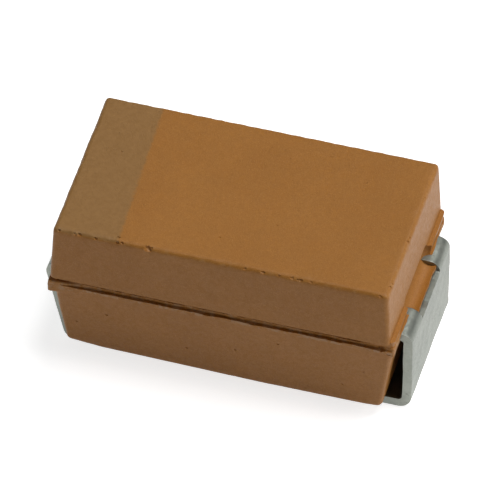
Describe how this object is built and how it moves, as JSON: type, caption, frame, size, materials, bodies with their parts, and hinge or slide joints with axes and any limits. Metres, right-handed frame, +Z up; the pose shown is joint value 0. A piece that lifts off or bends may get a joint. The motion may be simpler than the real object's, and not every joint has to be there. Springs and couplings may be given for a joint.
{
  "type": "tantalum capacitor",
  "caption": "Surface-mount moulded tantalum capacitor with a drafted tan body, a pale polarity band and folded tin-plated end terminals.",
  "frame": {"origin": "on the board plane under the feet, midway between the outer faces of the two terminals and in the middle of the width", "axes": "+X along the length from the banded anode end to the cathode end, +Y across the width, +Z up from the board"},
  "size_m": [0.006, 0.0032, 0.0028],
  "materials": {
    "moulded_epoxy": "golden-brown moulded epoxy, satin, with a paler polarity band, chipped edges and trimmed flash",
    "tinned_strip": "matte tin plate on a stamped and folded nickel-iron strip",
    "sintered_tantalum": "grey porous sintered tantalum",
    "tantalum_wire": "drawn tantalum wire",
    "ptfe": "white fluoropolymer",
    "manganese_dioxide": "dull black pyrolysed oxide",
    "graphite": "dark grey graphite coat",
    "silver_paint": "matte silver-filled paint and adhesive"
  },
  "bodies": {
    "root": {"moulded_body": "moulded_epoxy", "anode_lead": "tinned_strip", "cathode_lead": "tinned_strip", "tantalum_slug": "sintered_tantalum", "riser_wire": "tantalum_wire", "insulating_washer": "ptfe", "manganese_dioxide_coat": "manganese_dioxide", "graphite_coat": "graphite", "silver_coat": "silver_paint", "silver_adhesive": "silver_paint"}
  },
  "joints": []
}
